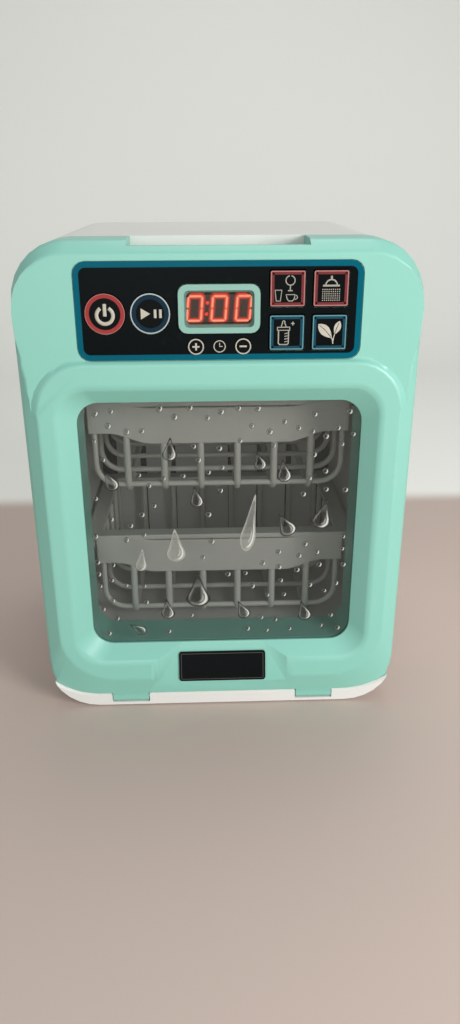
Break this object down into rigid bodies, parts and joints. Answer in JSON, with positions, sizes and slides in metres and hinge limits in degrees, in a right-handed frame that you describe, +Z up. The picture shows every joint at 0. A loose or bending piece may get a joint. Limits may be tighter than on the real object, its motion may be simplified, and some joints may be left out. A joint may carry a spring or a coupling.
{
  "type": "toy dishwasher",
  "caption": "Toy dishwasher with a drop-down front door, window, key panel with display, and sliding racks in a tub.",
  "frame": {"origin": "on the table, under the middle of the toy: centre of the bounding box's bottom", "axes": "+X to the right as seen from the front, +Y to the back, +Z up; the door faces -Y"},
  "size_m": [0.23, 0.19, 0.3],
  "materials": {
    "mint": "satin",
    "white_body": "satin",
    "rack": "satin",
    "tub": "satin",
    "smoked_pane": "gloss",
    "black_print": "gloss",
    "display_lens": "gloss",
    "board": "satin",
    "steel": "satin",
    "cell": "satin",
    "foot_rubber": "matte"
  },
  "bodies": {
    "cabinet": {"base": "white_body", "cabinet_shell": "white_body", "rear_cover": "white_body", "cover_screw_1": "steel", "cover_screw_2": "steel", "cover_screw_3": "steel", "cover_screw_4": "steel", "tub": "tub", "base_screw_1": "steel", "base_screw_2": "steel", "base_screw_3": "steel", "base_screw_4": "steel", "foot_1": "foot_rubber", "foot_2": "foot_rubber", "foot_3": "foot_rubber", "foot_4": "foot_rubber", "hinge_pin_left": "steel", "hinge_pin_right": "steel", "latch_catch": "rack"},
    "door": {"door_shell": "mint", "door_inner_panel": "mint", "window_pane": "smoked_pane", "door_screw_1": "steel", "door_screw_2": "steel", "door_screw_3": "steel", "door_screw_4": "steel", "name_plate": "black_print", "control_film": "black_print", "display_bezel": "mint", "display_lens": "display_lens", "display_module": "black_print", "circuit_board": "board", "battery_tray": "black_print", "battery_cover": "mint", "battery_cover_screw": "steel", "battery_cell_1": "cell", "battery_cell_2": "cell", "battery_cell_3": "cell", "battery_contact_left": "steel", "battery_contact_right": "steel", "speaker": "black_print", "latch_tongue": "rack"},
    "upper_rack": {"upper_rack": "rack"},
    "lower_rack": {"lower_rack": "rack"},
    "power_button": {"power_key": "black_print"},
    "play_pause_button": {"play_pause_key": "black_print"},
    "plus_button": {"plus_key": "black_print"},
    "minus_button": {"minus_key": "black_print"},
    "glassware_button": {"glassware_key": "black_print"},
    "spray_button": {"spray_key": "black_print"},
    "bottle_button": {"bottle_key": "black_print"},
    "leaf_button": {"leaf_key": "black_print"}
  },
  "joints": [
    {"name": "door_hinge", "type": "hinge", "parent": "cabinet", "child": "door", "pos_m": [0, -0.08787, 0.0063], "axis": [1, 0, 0], "range_deg": [0, 80]},
    {"name": "upper_rack_slide", "type": "slide", "parent": "cabinet", "child": "upper_rack", "axis": [0, -1, 0], "range_m": [0, 0.084]},
    {"name": "lower_rack_slide", "type": "slide", "parent": "cabinet", "child": "lower_rack", "axis": [0, -1, 0], "range_m": [0, 0.056]},
    {"name": "power_press", "type": "slide", "parent": "door", "child": "power_button", "axis": [0, 1, 0], "range_m": [0, 0.001], "stiffness_N_per_m": 400},
    {"name": "play_pause_press", "type": "slide", "parent": "door", "child": "play_pause_button", "axis": [0, 1, 0], "range_m": [0, 0.001], "stiffness_N_per_m": 400},
    {"name": "plus_press", "type": "slide", "parent": "door", "child": "plus_button", "axis": [0, 1, 0], "range_m": [0, 0.001], "stiffness_N_per_m": 400},
    {"name": "minus_press", "type": "slide", "parent": "door", "child": "minus_button", "axis": [0, 1, 0], "range_m": [0, 0.001], "stiffness_N_per_m": 400},
    {"name": "glassware_press", "type": "slide", "parent": "door", "child": "glassware_button", "axis": [0, 1, 0], "range_m": [0, 0.001], "stiffness_N_per_m": 400},
    {"name": "spray_press", "type": "slide", "parent": "door", "child": "spray_button", "axis": [0, 1, 0], "range_m": [0, 0.001], "stiffness_N_per_m": 400},
    {"name": "bottle_press", "type": "slide", "parent": "door", "child": "bottle_button", "axis": [0, 1, 0], "range_m": [0, 0.001], "stiffness_N_per_m": 400},
    {"name": "leaf_press", "type": "slide", "parent": "door", "child": "leaf_button", "axis": [0, 1, 0], "range_m": [0, 0.001], "stiffness_N_per_m": 400}
  ],
  "couplings": [
    {"joint": "upper_rack_slide", "follows": "door_hinge", "m_per_rad": 0.06},
    {"joint": "lower_rack_slide", "follows": "door_hinge", "m_per_rad": 0.04}
  ]
}
